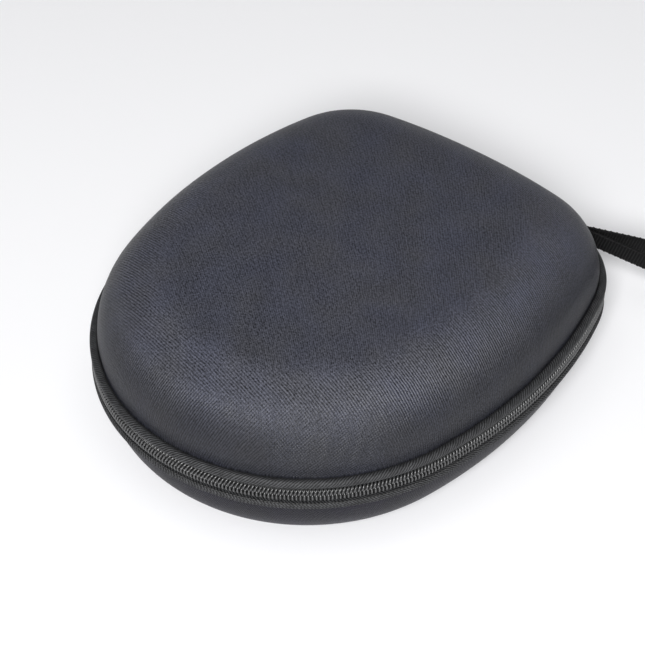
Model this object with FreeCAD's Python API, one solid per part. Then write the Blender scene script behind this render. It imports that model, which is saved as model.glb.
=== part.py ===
import FreeCAD, Part
import math
import os

# Hard clamshell carrying case for headphones. Millimetres, +Z up.
# The origin is the middle of the flat bottom, +Y points to the fabric hinge, -Y to the wide front end,
# and the case is symmetric about the YZ plane apart from its zip sliders and its wrist loop.

# ---- outline of the rim, from above: arcs that meet tangentially, right half; the left half mirrors it
HINGE_RADIUS = 290.0
HINGE_HALF_ANGLE = 9.0
CORNER_RADIUS = 46.5
CORNER_ANGLE = 64.5
SIDE_RADIUS = 206.0
SIDE_ANGLE = 31.0

# ---- heights
MIDDLE_HEIGHT = 35.0      # zip's middle line above the table
ZIP_HALF_GAP = 3.75       # middle line to the nearer face of each welt
WELT_HEIGHT = 3.25
WELT_OVERHANG = 3.2       # how far a welt stands out past the shell's wall
WELT_ROUNDING = 1.3
BASE_RISE = 28.0          # curved wall of the base, from its welt to the flat bottom
BASE_INSET = 27.0
LID_RISE = 30.2
LID_INSET = 35.0

# ---- layers
WALL = 3.2                # moulded foam with its outer twill bonded on
LINING = 0.8
TAPE = 0.7                # zip tape
TAPE_HEM = 2.75           # how far the tape reaches up behind the welt
BINDING = 0.5
BINDING_TOP = 8.0
LAYER_GAP = 0.05

# ---- zip
ROW_START = 0.8           # each half of the zip starts this far from the middle line
COIL_TOP = 3.4
COIL_DEPTH = 2.8
COIL_ROUNDING = 0.6
COIL_END_ANGLE = 5.6      # coil and hinge panel stop this far apart, measured on the corner arcs
STOP_ANGLE = 1.6
STOP_START_ANGLE = 3.8
STOP_DEPTH = 3.0
STOP_TOP = 3.5
SPINE_OUTER = -1.6        # hinge panel, measured outwards from the rim
SPINE_THICKNESS = 0.8
SPINE_TRIM_ANGLE = 0.3

# ---- zip sliders, nose to nose on the left side, nearer to the hinge than to the front
PARK_ANGLE = 174.0        # outward normal of the rim where the noses meet
SLIDER_HALF_LENGTH = 6.8
SLIDER_NOSE_GAP = 0.4
PLATE = 1.2
OUTER_PLATE_START = 0.4
INNER_PLATE_START = -5.4
INNER_PLATE = 1.1
INNER_PLATE_HALF_HEIGHT = 3.3
NECK_HALF_HEIGHT = 0.45
NECK_LENGTH = 2.6
BRIDGE_HALF_LENGTH = 4.0
BRIDGE_HALF_WIDTH = 1.2
BRIDGE_TOP = 4.9
TUNNEL_HALF_LENGTH = 2.3
TUNNEL_TOP = 3.6

# ---- pullers
PULLER_PIN = 2.6          # height of the pin's centre line outside the rim
TAB_THICKNESS = 1.2
TAB_HALF_WIDTH = 3.0
TAB_LENGTH = 20.0
TAB_END = 0.65
EYE_HALF_WIDTH = 1.65
EYE_LENGTH = 6.2
GRIP_START = 11.0
GRIP_LENGTH = 19.0
GRIP_HALF_WIDTH = 4.0
GRIP_THICKNESS = 2.8
GRIP_ROUNDING = 1.0

# ---- mesh pocket in the lid
NET_BOTTOM = 24.0         # above the middle line
NET = 0.6
NET_INSET = 15.3
NET_MOUTH_Y = 13.5
ELASTIC_WIDTH = 8.0
ELASTIC_BOTTOM = 23.6
ELASTIC = 1.4
ELASTIC_INSET = 15.9

# ---- wrist loop of webbing, standing on edge, sewn in where zip and hinge panel meet on the right
STRAP_HEADING = 27.7
STRAP_DROOP = 13.7
STRAP_LEAN = 11.7
STRAP_SPREAD = 6.7        # half of the angle between the two legs
STRAP_REACH = 130.0
STRAP_WIDTH = 9.0
STRAP_THICKNESS = 1.3
STRAP_ROOT_RISE = 1.8
STRAP_ROOT_OUT = 1.9
STRAP_ROOT_WIDTH = 6.6
TAB_REACH = 8.0
TAB_GAP = 0.3
SEWN_REACH = 12.0
ANCHOR_ANGLE = 3.0
ANCHOR_START = -1.8
ANCHOR_END = 0.3
ANCHOR_TOP = 3.3

UP = FreeCAD.Vector(0, 0, 1)
WELT_TOP = ZIP_HALF_GAP + WELT_HEIGHT
TAPE_OUTER = -WELT_OVERHANG
TAPE_INNER = -WELT_OVERHANG - TAPE
WALL_INNER = -WELT_OVERHANG - WALL


def polar(centre, radius, angle):
    """The point at an angle in degrees on a circle seen from above."""
    return (
        centre[0] + radius * math.cos(math.radians(angle)),
        centre[1] + radius * math.sin(math.radians(angle)),
    )


def outline_arcs():
    """The rim as arcs: centre, radius, and the angles of the first and last outward normal."""
    hinge_end = 90 - HINGE_HALF_ANGLE
    corner_end = hinge_end - CORNER_ANGLE
    side_end = corner_end - SIDE_ANGLE
    hinge_centre = (0.0, -HINGE_RADIUS)
    corner_centre = polar(hinge_centre, HINGE_RADIUS - CORNER_RADIUS, hinge_end)
    side_centre = polar(corner_centre, CORNER_RADIUS - SIDE_RADIUS, corner_end)
    side_last = polar(side_centre, SIDE_RADIUS, side_end)
    front_radius = side_last[0] / math.cos(math.radians(side_end))
    front_centre = (0.0, side_last[1] - front_radius * math.sin(math.radians(side_end)))
    shift = (front_radius - front_centre[1]) / 2
    right = [
        (side_centre, SIDE_RADIUS, side_end, corner_end),
        (corner_centre, CORNER_RADIUS, corner_end, hinge_end),
    ]
    left = [((-c[0], c[1]), r, 180 - b, 180 - a) for c, r, a, b in reversed(right)]
    hinge = (hinge_centre, HINGE_RADIUS, hinge_end, 180 - hinge_end)
    front = (front_centre, front_radius, 180 - side_end, 360 + side_end)
    arcs = [hinge] + left + [front] + [(c, r, a + 360, b + 360) for c, r, a, b in right]
    return [((c[0], c[1] + shift), r, a, b) for c, r, a, b in arcs]


OUTLINE = outline_arcs()
HINGE_ARC, LEFT_CORNER, LEFT_SIDE, FRONT_ARC, RIGHT_SIDE, RIGHT_CORNER = OUTLINE
ZIP_ARCS = OUTLINE[1:]
HINGE_Y = HINGE_ARC[0][1] + HINGE_RADIUS


def trimmed(arcs, first, last):
    """The arcs without the first and last few degrees of the run."""
    arcs = list(arcs)
    c, r, a, b = arcs[0]
    arcs[0] = (c, r, a + first, b)
    c, r, a, b = arcs[-1]
    arcs[-1] = (c, r, a, b - last)
    return arcs


def sewn(faces):
    """One closed solid from faces that meet edge to edge."""
    shell = Part.makeShell(faces)
    shell.sewShape()
    solid = Part.makeSolid(shell)
    if solid.Volume < 0:
        solid.reverse()
    return solid


def at_arc(shape, arc, angle):
    """A copy of a section drawn at (outwards, 0, height), stood on an arc of the outline."""
    centre, radius, _, _ = arc
    placed = shape.copy()
    placed.translate(FreeCAD.Vector(radius, 0, 0))
    placed.rotate(FreeCAD.Vector(0, 0, 0), UP, angle)
    placed.translate(FreeCAD.Vector(centre[0], centre[1], 0))
    return placed


def swept_faces(section, arcs):
    faces = []
    for arc in arcs:
        centre = FreeCAD.Vector(arc[0][0], arc[0][1], 0)
        placed = at_arc(section, arc, arc[2])
        faces += placed.revolve(centre, UP, arc[3] - arc[2]).Faces
    return faces


def ring(section, arcs=None):
    """A closed section carried along the outline: all the way round, or along some arcs with flat ends."""
    if arcs is None:
        return sewn(swept_faces(section, OUTLINE))
    ends = [
        Part.Face(at_arc(section, arcs[0], arcs[0][2])),
        Part.Face(at_arc(section, arcs[-1], arcs[-1][3])),
    ]
    return sewn(swept_faces(section, arcs) + ends)


def inset_face(inset, z):
    """The flat face inside the outline moved inwards, at a height."""
    edges = []
    for centre, radius, first, last in OUTLINE:
        corners = [polar(centre, radius - inset, a) for a in (first, (first + last) / 2, last)]
        edges.append(Part.Arc(*[FreeCAD.Vector(x, y, z) for x, y in corners]).toShape())
    return Part.Face(Part.Wire(edges))


def level(height, side):
    """The height above the table of a place this far from the middle line, on the lid (1) or the base (-1)."""
    return MIDDLE_HEIGHT + side * height


def section_point(outwards, height, side):
    return FreeCAD.Vector(outwards, 0, level(height, side))


def line(first, last):
    return Part.makeLine(first, last)


def section_wire(places, side):
    """A closed section with straight sides."""
    points = [section_point(u, h, side) for u, h in places]
    return Part.makePolygon(points + points[:1])


def shoulder(inset, rise, layer, side):
    """The curved part of a wall's section: a quarter ellipse, a layer's depth inside the outer face."""
    centre = section_point(-WELT_OVERHANG - inset, WELT_TOP, side)
    foot = section_point(-WELT_OVERHANG - layer, WELT_TOP, side)
    top = section_point(-WELT_OVERHANG - inset, WELT_TOP + rise - layer, side)
    if inset >= rise:
        curve = Part.Ellipse(foot, top, centre)
    else:
        curve = Part.Ellipse(top, foot, centre)
    first, last = sorted((curve.parameter(foot), curve.parameter(top)))
    if last - first > math.pi:
        first, last = last, first + 2 * math.pi
    return Part.ArcOfEllipse(curve, first, last).toShape(), foot, top


def dish(inset, rise, outer_layer, inner_layer, rim, side):
    """A thin dish: two shoulders joined by the rim's section, closed by two flat faces."""
    outer, outer_foot, outer_top = shoulder(inset, rise, outer_layer, side)
    inner, inner_foot, inner_top = shoulder(inset, rise, inner_layer, side)
    places = [section_point(u, h, side) for u, h in rim]
    chain = [outer_foot] + places + [inner_foot]
    rim_edges = [line(a, b) for a, b in zip(chain, chain[1:])]
    section = Part.Wire([outer] + rim_edges + [inner])
    faces = swept_faces(section, OUTLINE)
    faces.append(inset_face(WELT_OVERHANG + inset, outer_top.z))
    faces.append(inset_face(WELT_OVERHANG + inset, inner_top.z))
    return sewn(faces)


def foam_shell(inset, rise, side):
    hem = ZIP_HALF_GAP + TAPE_HEM
    rim = [
        (TAPE_OUTER, hem),
        (TAPE_INNER, hem),
        (TAPE_INNER, ZIP_HALF_GAP),
        (WALL_INNER, ZIP_HALF_GAP),
    ]
    return dish(inset, rise, 0.0, WALL, rim, side)


def lining(inset, rise, side):
    rim = [(WALL_INNER, ZIP_HALF_GAP), (WALL_INNER - LINING, ZIP_HALF_GAP)]
    return dish(inset, rise, WALL, WALL + LINING, rim, side)


def welt(side):
    """The fabric-covered bead round the rim, rounded outside."""
    r = WELT_ROUNDING
    k = r * (1 - math.sqrt(0.5))
    low, high = ZIP_HALF_GAP, WELT_TOP
    p = [section_point(u, h, side) for u, h in (
        (-WELT_OVERHANG, low), (-r, low), (-k, low + k), (0, low + r),
        (0, high - r), (-k, high - k), (-r, high), (-WELT_OVERHANG, high),
    )]
    edges = [
        line(p[0], p[1]),
        Part.Arc(p[1], p[2], p[3]).toShape(),
        line(p[3], p[4]),
        Part.Arc(p[4], p[5], p[6]).toShape(),
        line(p[6], p[7]),
        line(p[7], p[0]),
    ]
    return ring(Part.Wire(edges))


def binding(side):
    """The narrow tape that covers the raw edges inside the rim."""
    outer = WALL_INNER - LINING - LAYER_GAP
    places = [
        (outer, ZIP_HALF_GAP),
        (outer, BINDING_TOP),
        (outer - BINDING, BINDING_TOP),
        (outer - BINDING, ZIP_HALF_GAP),
    ]
    return ring(section_wire(places, side))


def zip_tape(side):
    top = ZIP_HALF_GAP + TAPE_HEM
    places = [(TAPE_OUTER, ROW_START), (TAPE_OUTER, top), (TAPE_INNER, top), (TAPE_INNER, ROW_START)]
    return ring(section_wire(places, side), ZIP_ARCS)


def zip_coil(side):
    """One half of the coil, as the solid that its turns fill."""
    outer = TAPE_OUTER + COIL_DEPTH
    places = [
        (TAPE_OUTER, ROW_START),
        (outer - COIL_ROUNDING, ROW_START),
        (outer, ROW_START + COIL_ROUNDING),
        (outer, COIL_TOP - COIL_ROUNDING),
        (outer - COIL_ROUNDING, COIL_TOP),
        (TAPE_OUTER, COIL_TOP),
    ]
    return ring(section_wire(places, side), trimmed(ZIP_ARCS, COIL_END_ANGLE, COIL_END_ANGLE))


def zip_stop(side, arc, first):
    """A small clamp on the end of one row of the coil."""
    outer = TAPE_OUTER + STOP_DEPTH
    places = [(TAPE_OUTER, ROW_START), (outer, ROW_START), (outer, STOP_TOP), (TAPE_OUTER, STOP_TOP)]
    run = [(arc[0], arc[1], first, first + STOP_ANGLE)]
    return ring(section_wire(places, side), run)


def hinge_spine():
    """The fabric panel that joins the two welts along the hinge."""
    inner = SPINE_OUTER - SPINE_THICKNESS
    places = [
        (SPINE_OUTER, -ZIP_HALF_GAP),
        (SPINE_OUTER, ZIP_HALF_GAP),
        (inner, ZIP_HALF_GAP),
        (inner, -ZIP_HALF_GAP),
    ]
    return ring(section_wire(places, 1), trimmed([HINGE_ARC], SPINE_TRIM_ANGLE, SPINE_TRIM_ANGLE))


def cut_outline(inset, bottom, thickness, y_first, y_last):
    """A flat sheet in the lid, of the outline moved inwards, between two Y values."""
    sheet = inset_face(inset, level(bottom, 1)).extrude(UP * thickness)
    reach = 2 * HINGE_Y
    corner = FreeCAD.Vector(-reach, y_first, level(bottom, 1) - 1)
    window = Part.makeBox(2 * reach, y_last - y_first, thickness + 2, corner)
    return sheet.common(window).Solids[0]


def curved_block(u_first, u_last, h_first, h_last, t_first, t_last):
    """A block bent round the side's arc: outwards, height, and along the zip from a slider's centre."""
    places = [(u_first, h_first), (u_last, h_first), (u_last, h_last), (u_first, h_last)]
    face = Part.Face(section_wire(places, 1))
    face.rotate(FreeCAD.Vector(-SIDE_RADIUS, 0, 0), UP, math.degrees(t_first / SIDE_RADIUS))
    turn = math.degrees((t_last - t_first) / SIDE_RADIUS)
    return face.revolve(FreeCAD.Vector(-SIDE_RADIUS, 0, 0), UP, turn)


def shield():
    """The outer plate's outline, wide at the nose and narrow at the tail, as a prism through the plate."""
    half = SLIDER_HALF_LENGTH
    upper = [(-half, 3.0), (-half + 1.2, 4.0), (half - 4.6, 5.2), (half - 1.6, 5.2), (half, 3.4)]
    places = upper + [(t, -h) for t, h in reversed(upper)]
    points = [FreeCAD.Vector(0, t, level(h, 1)) for t, h in places]
    return Part.Face(Part.makePolygon(points + points[:1])).extrude(FreeCAD.Vector(PLATE * 3, 0, 0))


def slider():
    """A zip slider: outer plate, inner plate, the neck between them at the nose, and the puller's bridge."""
    half = SLIDER_HALF_LENGTH
    top = OUTER_PLATE_START + PLATE
    plate = curved_block(OUTER_PLATE_START, top, -6, 6, -half, half).common(shield())
    low = INNER_PLATE_HALF_HEIGHT
    inner = curved_block(INNER_PLATE_START, INNER_PLATE_START + INNER_PLATE, -low, low, -half, half)
    neck = curved_block(
        INNER_PLATE_START, top, -NECK_HALF_HEIGHT, NECK_HALF_HEIGHT, half - NECK_LENGTH, half - 0.4
    )
    wide = BRIDGE_HALF_WIDTH
    bridge = curved_block(top - 0.5, BRIDGE_TOP, -wide, wide, -BRIDGE_HALF_LENGTH, BRIDGE_HALF_LENGTH)
    tunnel = curved_block(top, TUNNEL_TOP, -6, 6, -TUNNEL_HALF_LENGTH, TUNNEL_HALF_LENGTH)
    return plate.fuse([inner, neck, bridge.cut(tunnel)]).removeSplitter().Solids[0]


def box_about(u_mid, u_size, t_first, t_last, half_height):
    corner = FreeCAD.Vector(u_mid - u_size / 2, t_first, MIDDLE_HEIGHT - half_height)
    return Part.makeBox(u_size, t_last - t_first, 2 * half_height, corner)


def puller_tab():
    """A flat tab whose eye goes round the bridge; the bar at its end turns in the bridge's tunnel."""
    tab = box_about(PULLER_PIN, TAB_THICKNESS, -TAB_LENGTH, TAB_END, TAB_HALF_WIDTH)
    eye = box_about(PULLER_PIN, TAB_THICKNESS * 2, -EYE_LENGTH, -TAB_END, EYE_HALF_WIDTH)
    return tab.cut(eye).Solids[0]


def puller_grip():
    """A moulded grip over the tab's free end."""
    first = -GRIP_START - GRIP_LENGTH
    grip = box_about(PULLER_PIN, GRIP_THICKNESS, first, -GRIP_START, GRIP_HALF_WIDTH)
    grip = grip.makeFillet(GRIP_ROUNDING, grip.Edges)
    return grip.cut(puller_tab()).Solids[0]


def parked(shape, nose):
    """A slider's piece stood at its place on the left side, its nose to the front (1) or to the hinge (-1)."""
    if nose < 0:
        shape = shape.mirror(FreeCAD.Vector(0, 0, 0), FreeCAD.Vector(0, 1, 0))
    half_step = SLIDER_HALF_LENGTH + SLIDER_NOSE_GAP / 2
    angle = PARK_ANGLE - nose * math.degrees(half_step / SIDE_RADIUS)
    return at_arc(shape, LEFT_SIDE, angle)


def strap_place():
    """Where the strap's own frame stands: X along the loop, Y across it, Z along the webbing's width."""
    root = polar(RIGHT_CORNER[0], CORNER_RADIUS + STRAP_ROOT_OUT, RIGHT_CORNER[3])
    turn = FreeCAD.Rotation(UP, STRAP_HEADING)
    droop = FreeCAD.Rotation(FreeCAD.Vector(0, 1, 0), STRAP_DROOP)
    lean = FreeCAD.Rotation(FreeCAD.Vector(1, 0, 0), STRAP_LEAN)
    origin = FreeCAD.Vector(root[0], root[1], MIDDLE_HEIGHT + STRAP_ROOT_RISE)
    return FreeCAD.Placement(origin, turn.multiply(droop).multiply(lean))


def leg_offset(reach, side_shift):
    """Half of the distance between the legs' faces at a distance from the root."""
    spread = math.radians(STRAP_SPREAD)
    return reach * math.tan(spread) + side_shift / math.cos(spread)


def teardrop(start, side_shift):
    """A flat teardrop: two straight legs from a start line, tangent to a round end."""
    spread = math.radians(STRAP_SPREAD)
    round_radius = STRAP_REACH * math.sin(spread) / (1 + math.sin(spread))
    centre = STRAP_REACH - round_radius
    radius = round_radius + side_shift
    x_touch = centre - radius * math.sin(spread)
    y_touch = radius * math.cos(spread)
    y_start = leg_offset(start, side_shift)
    p = [FreeCAD.Vector(x, y, 0) for x, y in (
        (start, y_start), (x_touch, y_touch), (centre + radius, 0), (x_touch, -y_touch), (start, -y_start),
    )]
    edges = [line(p[0], p[1]), Part.Arc(p[1], p[2], p[3]).toShape(), line(p[3], p[4]), line(p[4], p[0])]
    return Part.Face(Part.Wire(edges))


def strap_loop():
    """The loop of webbing, one piece folded back on itself and sewn flat next to its root."""
    half = STRAP_THICKNESS / 2
    profile = teardrop(TAB_REACH + TAB_GAP, half).cut(teardrop(SEWN_REACH, -half))
    loop = profile.extrude(UP * STRAP_WIDTH)
    loop.translate(UP * (-STRAP_WIDTH / 2))
    loop.Placement = strap_place().multiply(loop.Placement)
    return loop.Solids[0]


def rectangle_wire(x, half_y, half_z):
    points = [FreeCAD.Vector(x, y, z) for y, z in (
        (-half_y, -half_z), (half_y, -half_z), (half_y, half_z), (-half_y, half_z),
    )]
    return Part.makePolygon(points + points[:1])


def strap_tab():
    """The stretch of doubled webbing that bends next to the seam."""
    first = rectangle_wire(0, STRAP_THICKNESS, STRAP_ROOT_WIDTH / 2)
    last = rectangle_wire(TAB_REACH, leg_offset(TAB_REACH, STRAP_THICKNESS / 2), STRAP_WIDTH / 2)
    tab = Part.makeLoft([first, last], True, True)
    tab.Placement = strap_place().multiply(tab.Placement)
    return tab.Solids[0]


def strap_anchor():
    """The webbing's sewn end, held between the welts and stitched to the base."""
    places = [
        (ANCHOR_START, -ZIP_HALF_GAP),
        (ANCHOR_END, -ZIP_HALF_GAP),
        (ANCHOR_END, ANCHOR_TOP),
        (ANCHOR_START, ANCHOR_TOP),
    ]
    last = RIGHT_CORNER[3]
    run = [(RIGHT_CORNER[0], RIGHT_CORNER[1], last - ANCHOR_ANGLE, last)]
    return ring(section_wire(places, 1), run)


def half_case(name, inset, rise, side):
    """One half of the case: its shell and everything sewn round its rim."""
    left_first = LEFT_CORNER[2] + STOP_START_ANGLE
    right_first = RIGHT_CORNER[3] - STOP_START_ANGLE - STOP_ANGLE
    return {
        name + "_shell": foam_shell(inset, rise, side),
        name + "_lining": lining(inset, rise, side),
        name + "_welt": welt(side),
        name + "_edge_binding": binding(side),
        name + "_zip_tape": zip_tape(side),
        name + "_zip_coil": zip_coil(side),
        name + "_zip_stop_left": zip_stop(side, LEFT_CORNER, left_first),
        name + "_zip_stop_right": zip_stop(side, RIGHT_CORNER, right_first),
    }


def mesh_pocket():
    return {
        "pocket_net": cut_outline(NET_INSET, NET_BOTTOM, NET, -HINGE_Y * 2, NET_MOUTH_Y),
        "pocket_elastic": cut_outline(
            ELASTIC_INSET, ELASTIC_BOTTOM, ELASTIC, NET_MOUTH_Y, NET_MOUTH_Y + ELASTIC_WIDTH
        ),
    }


def sliders():
    pieces = {}
    for name, nose in (("rear", 1), ("front", -1)):
        pieces["zip_slider_" + name] = parked(slider(), nose)
        pieces["puller_tab_" + name] = parked(puller_tab(), nose)
        pieces["puller_grip_" + name] = parked(puller_grip(), nose)
    return pieces


def strap():
    return {"strap_anchor": strap_anchor(), "strap_tab": strap_tab(), "strap_loop": strap_loop()}


def main():
    nodes = {}
    nodes.update(half_case("base", BASE_INSET, BASE_RISE, -1))
    nodes.update(half_case("lid", LID_INSET, LID_RISE, 1))
    nodes["hinge_spine"] = hinge_spine()
    nodes.update(mesh_pocket())
    nodes.update(sliders())
    nodes.update(strap())
    os.makedirs("parts", exist_ok=True)
    for name, shape in nodes.items():
        shape.exportStep(os.path.join("parts", name + ".step"))
        box = shape.BoundBox
        print(
            f"{name:24s} {shape.ShapeType} valid {shape.isValid()} volume {shape.Volume:9.1f}"
            f"  x {box.XMin:7.1f} {box.XMax:7.1f}  y {box.YMin:7.1f} {box.YMax:7.1f}"
            f"  z {box.ZMin:6.2f} {box.ZMax:6.2f}"
        )


main()
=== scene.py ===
import math

import bmesh
import bpy
from mathutils import Matrix, Vector, noise


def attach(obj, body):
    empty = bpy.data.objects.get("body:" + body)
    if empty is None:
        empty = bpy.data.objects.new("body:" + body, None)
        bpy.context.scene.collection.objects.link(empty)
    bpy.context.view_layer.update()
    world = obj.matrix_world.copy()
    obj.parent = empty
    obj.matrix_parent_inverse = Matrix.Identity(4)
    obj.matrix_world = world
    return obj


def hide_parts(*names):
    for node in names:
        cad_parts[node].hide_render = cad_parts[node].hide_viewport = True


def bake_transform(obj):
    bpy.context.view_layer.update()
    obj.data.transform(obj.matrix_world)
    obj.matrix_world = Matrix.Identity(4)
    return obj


# Headphone carrying case, closed, with its zip facing the camera and its wrist loop to the right.
# Lengths in this script are millimetres and become metres where a mesh is made.
# A place on the case is given by its station on the rim, its distance outwards from the rim (u)
# and its height above the zip's middle line (h), counted towards the lid or towards the base.

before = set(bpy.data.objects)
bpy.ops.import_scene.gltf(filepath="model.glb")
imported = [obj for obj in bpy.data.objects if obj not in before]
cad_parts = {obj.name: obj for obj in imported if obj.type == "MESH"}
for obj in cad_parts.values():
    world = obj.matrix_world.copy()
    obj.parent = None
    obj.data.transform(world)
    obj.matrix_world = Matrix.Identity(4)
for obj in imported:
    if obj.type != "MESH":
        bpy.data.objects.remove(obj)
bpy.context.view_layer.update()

MM = 0.001
TAU = 2 * math.pi

# ---- outline of the rim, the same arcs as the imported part
HINGE_RADIUS = 290.0
HINGE_HALF_ANGLE = 9.0
CORNER_RADIUS = 46.5
CORNER_ANGLE = 64.5
SIDE_RADIUS = 206.0
SIDE_ANGLE = 31.0

# ---- section of the case
MIDDLE_HEIGHT = 35.0      # zip's middle line above the floor
ZIP_HALF_GAP = 3.75       # middle line to the nearer face of each welt
WELT_HEIGHT = 3.25
WELT_OVERHANG = 3.2       # how far a welt stands out past the shell's wall
WELT_TOP = ZIP_HALF_GAP + WELT_HEIGHT
WALL = 3.2                # moulded foam with its outer twill bonded on
TAPE = 0.7                # thickness of the zip tape
TAPE_HEM = 2.75           # how far the tape runs up under the welt
BASE_RISE = 28.0          # curved wall of the base, from its welt to the flat bottom
BASE_INSET = 27.0
LID_RISE = 30.2
LID_INSET = 35.0
LID_CROWN = 1.4
LID_POWER = 2.15          # of the wall's curve; 2 would be an ellipse
BASE_POWER = 2.2
LID = 1
BASE = -1

# ---- zip
COIL_PITCH = 1.5
COIL_WIRE = 0.43          # radius of the nylon wire
COIL_ROOTS = {LID: 2.9, BASE: 3.6}             # from the middle line to each row's far side
COIL_HEAD = -0.35         # a turn's head reaches past the middle line, between two turns of the other row
COIL_FLOOR = -3.2
COIL_FACE = 0.05
COIL_BULGE = 0.075        # the face falls back by this times the square of its height
COIL_END_ANGLE = 5.6
COIL_STEP_FROM = {LID: 0.14, BASE: 0.26}       # share of a turn after which the wire steps on
COIL_STEP_SHARE = 0.48
COIL_SQUARENESS = {LID: 0.95, BASE: 0.7}
HEAD_SQUARENESS = 0.85
HEAD_NARROWING = 0.14

# ---- wrist loop
STRAP_HEADING = 27.7      # degrees; then how far the loop droops and leans, and its legs spread
STRAP_DROOP = 13.7
STRAP_LEAN = 11.7
STRAP_SPREAD = 6.7
STRAP_REACH = 130.0
STRAP_WIDTH = 9.0
STRAP_THICKNESS = 1.3
STRAP_ROOT_RISE = 1.8
STRAP_ROOT_OUT = 1.9
STRAP_ROOT_WIDTH = 6.6
TAB_REACH = 8.0


def polar(centre, radius, angle):
    """The point at an angle in degrees on a circle seen from above."""
    turn = math.radians(angle)
    return centre[0] + radius * math.cos(turn), centre[1] + radius * math.sin(turn)


def outline_arcs():
    """The rim as arcs: centre, radius, and the angles of the first and last outward normal."""
    hinge_end = 90 - HINGE_HALF_ANGLE
    corner_end = hinge_end - CORNER_ANGLE
    side_end = corner_end - SIDE_ANGLE
    hinge_centre = (0.0, -HINGE_RADIUS)
    corner_centre = polar(hinge_centre, HINGE_RADIUS - CORNER_RADIUS, hinge_end)
    side_centre = polar(corner_centre, CORNER_RADIUS - SIDE_RADIUS, corner_end)
    side_last = polar(side_centre, SIDE_RADIUS, side_end)
    front_radius = side_last[0] / math.cos(math.radians(side_end))
    front_centre = (0.0, side_last[1] - front_radius * math.sin(math.radians(side_end)))
    shift = (front_radius - front_centre[1]) / 2
    right = [
        (side_centre, SIDE_RADIUS, side_end, corner_end),
        (corner_centre, CORNER_RADIUS, corner_end, hinge_end),
    ]
    left = [((-c[0], c[1]), r, 180 - b, 180 - a) for c, r, a, b in reversed(right)]
    hinge = (hinge_centre, HINGE_RADIUS, hinge_end, 180 - hinge_end)
    front = (front_centre, front_radius, 180 - side_end, 360 + side_end)
    arcs = [hinge] + left + [front] + [(c, r, a + 360, b + 360) for c, r, a, b in right]
    return [((c[0], c[1] + shift), r, a, b) for c, r, a, b in arcs]


OUTLINE = outline_arcs()
HINGE_ARC = OUTLINE[0]
ZIP_ARCS = OUTLINE[1:]
RIGHT_CORNER = OUTLINE[5]


def trimmed(arcs, first, last):
    """The arcs without the first and last few degrees of the run."""
    arcs = list(arcs)
    c, r, a, b = arcs[0]
    arcs[0] = (c, r, a + first, b)
    c, r, a, b = arcs[-1]
    arcs[-1] = (c, r, a, b - last)
    return arcs


class Station:
    """A place on the rim: its point, outward direction, and distance along the run."""

    def __init__(self, centre, radius, angle, run):
        self.x, self.y = polar(centre, radius, angle)
        self.out = polar((0, 0), 1, angle)
        self.run = run

    def at(self, u, h, side=LID, along=0.0):
        """The point u outwards and h from the middle line, shifted along the rim, in metres."""
        x = self.x + u * self.out[0] - along * self.out[1]
        y = self.y + u * self.out[1] + along * self.out[0]
        return Vector((x * MM, y * MM, (MIDDLE_HEIGHT + side * h) * MM))


def stations(arcs, step, is_open):
    """Places along the rim about this far apart. An open run has one more, at its end."""
    found = []
    run = 0.0
    for centre, radius, first, last in arcs:
        length = radius * math.radians(last - first)
        count = max(1, round(length / step))
        for i in range(count):
            share = i / count
            found.append(Station(centre, radius, first + (last - first) * share, run + length * share))
        run += length
    if is_open:
        found.append(Station(centre, radius, last, run))
    return found, run


def arcs_length(arcs):
    """The length of a run of arcs."""
    return sum(radius * math.radians(last - first) for _, radius, first, last in arcs)


def station_at(arcs, distance):
    """The place at a distance along a run of arcs."""
    run = 0.0
    for centre, radius, first, last in arcs:
        length = radius * math.radians(last - first)
        if distance <= run + length or (centre, radius, first, last) == arcs[-1]:
            return Station(centre, radius, first + math.degrees((distance - run) / radius), distance)
        run += length


# ---- meshes

def linked(name, data):
    """An object with this data, in the scene."""
    made = bpy.data.objects.new(name, data)
    bpy.context.scene.collection.objects.link(made)
    return made


def new_object(name, points, faces, cloth=None, smooth=True):
    """A mesh object from points in metres. cloth gives each face's corners a place on the flat fabric."""
    mesh = bpy.data.meshes.new(name)
    mesh.from_pydata([tuple(p) for p in points], [], faces)
    if cloth is not None:
        layer = mesh.uv_layers.new(name="cloth")
        for polygon, corners in zip(mesh.polygons, cloth):
            for loop, place in zip(polygon.loop_indices, corners):
                layer.data[loop].uv = place
    mesh.validate()
    bm = bmesh.new()
    bm.from_mesh(mesh)
    bmesh.ops.recalc_face_normals(bm, faces=bm.faces)
    bm.to_mesh(mesh)
    bm.free()
    mesh.polygons.foreach_set("use_smooth", [smooth] * len(mesh.polygons))
    return linked(name, mesh)


def grid(rows, cloth, wrap_run, wrap_rows, run_length=0.0):
    """Quads between neighbouring columns of points, with each corner's place on the fabric.

    rows[i][j] is column i along the run and point j of the section. cloth matches it."""
    columns = len(rows)
    size = len(rows[0])
    points = [p for column in rows for p in column]
    faces = []
    corners = []
    for i in range(columns if wrap_run else columns - 1):
        k = (i + 1) % columns
        past = (run_length * MM, 0.0) if k == 0 else (0.0, 0.0)
        for j in range(size if wrap_rows else size - 1):
            m = (j + 1) % size
            faces.append((i * size + j, k * size + j, k * size + m, i * size + m))
            far = [(cloth[k][n][0] + past[0], cloth[k][n][1] + past[1]) for n in (j, m)]
            corners.append((cloth[i][j], far[0], far[1], cloth[i][m]))
    return points, faces, corners


def section_lengths(section):
    """How far each point of a section is along it."""
    lengths = [0.0]
    for (u1, h1), (u2, h2) in zip(section, section[1:]):
        lengths.append(lengths[-1] + math.hypot(u2 - u1, h2 - h1))
    return lengths


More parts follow.
